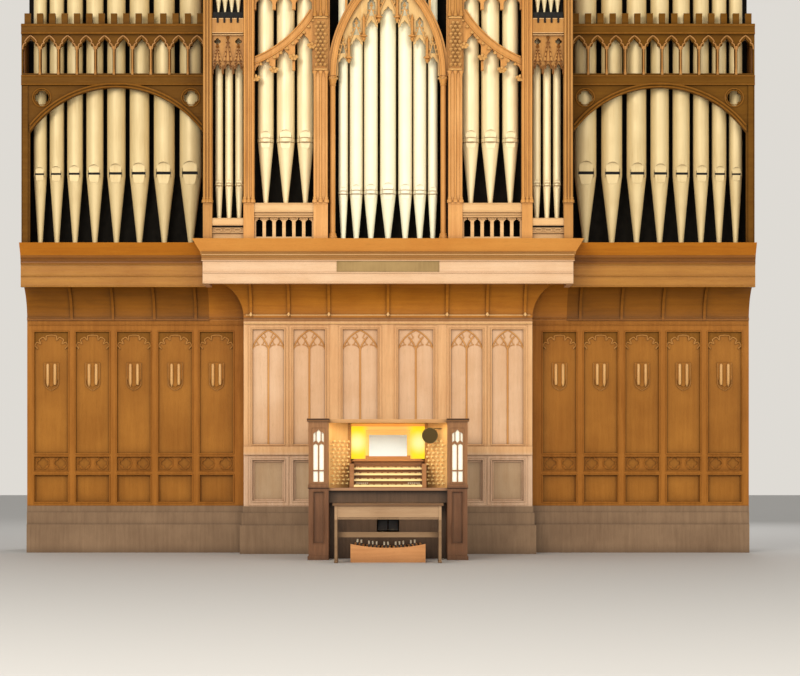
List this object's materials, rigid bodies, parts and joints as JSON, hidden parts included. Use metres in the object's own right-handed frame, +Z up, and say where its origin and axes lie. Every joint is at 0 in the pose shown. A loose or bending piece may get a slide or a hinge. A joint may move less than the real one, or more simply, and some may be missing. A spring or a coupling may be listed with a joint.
{
  "type": "pipe organ",
  "caption": "Church pipe organ: panelled oak case on a coved jetty, arched centre and wings of metal pipes, with a detached console, pedalboard and bench.",
  "frame": {"origin": "on the floor, under the middle of the whole instrument, bench to back wall", "axes": "+X to the right as the listener sees it, +Y to the back of the case, +Z up; the front of the organ faces -Y"},
  "size_m": [8.96, 4.5, 8.057],
  "materials": {
    "centre_oak": "waxed oak, pale",
    "wing_oak": "waxed oak, browner",
    "deck_oak": "dark stained oak",
    "backing": "dark painted boards",
    "pipe_metal": "satin cream",
    "brass": "antique brass, blank",
    "console_oak": "dark waxed oak",
    "inner_oak": "honey oak",
    "ivory": "ivory",
    "paper": "blank pages",
    "mirror": "silvered",
    "iron": "black",
    "bench_oak": "scrubbed oak"
  },
  "bodies": {
    "case": {"plinth": "wing_oak", "centre_screen": "centre_oak", "centre_panels": "centre_oak", "centre_returns": "centre_oak", "wing_screens": "wing_oak", "wing_panel_boards": "wing_oak", "shields": "wing_oak", "cove_centre": "centre_oak", "wing_coves": "wing_oak", "cornice_centre": "centre_oak", "wing_cornices": "wing_oak", "brass_plate": "brass", "side_walls": "wing_oak", "back_wall": "wing_oak", "pipe_deck": "deck_oak", "tower_sides": "wing_oak", "wing_ends": "wing_oak", "backing_boards": "backing", "chamber_back": "wing_oak", "chamber_roofs": "deck_oak", "outer_posts": "centre_oak", "bay_posts": "centre_oak", "arch_piers": "centre_oak", "colonnettes": "centre_oak", "centre_arch": "centre_oak", "arch_canopy": "centre_oak", "bay_rakes": "centre_oak", "bay_heads": "centre_oak", "bay_sills": "centre_oak", "narrow_sills": "centre_oak", "narrow_heads": "centre_oak", "top_cornice": "centre_oak", "pinnacles": "centre_oak", "pipes_centre": "pipe_metal", "pipes_bays": "pipe_metal", "pipes_narrow": "pipe_metal", "wing_arches": "wing_oak", "wing_arcades": "wing_oak", "pipes_wings": "pipe_metal", "console_piers": "console_oak", "console_back": "console_oak", "console_crown": "console_oak", "stop_jambs": "inner_oak", "stop_knobs": "ivory", "key_desk": "inner_oak", "manual_keys": "ivory", "music_desk": "inner_oak", "music_pages": "paper", "mirror_arm": "brass", "kneeboard": "console_oak", "swell_shaft": "iron", "pedalboard": "bench_oak", "pedal_sharps": "console_oak", "bench": "bench_oak"},
    "mirror": {"mirror_glass": "mirror"},
    "left_shoe": {"swell_pedal_left": "iron"},
    "right_shoe": {"swell_pedal_right": "iron"}
  },
  "joints": [
    {"name": "mirror_tilt", "type": "hinge", "parent": "case", "child": "mirror", "pos_m": [0.48, -1.2, 1.42], "axis": [1, 0, 0], "range_deg": [-15, 15]},
    {"name": "left_shoe_tilt", "type": "hinge", "parent": "case", "child": "left_shoe", "pos_m": [-0.063, -0.94, 0.385], "axis": [1, 0, 0], "range_deg": [-15, 15]},
    {"name": "right_shoe_tilt", "type": "hinge", "parent": "case", "child": "right_shoe", "pos_m": [0.063, -0.94, 0.385], "axis": [1, 0, 0], "range_deg": [-15, 15]}
  ]
}
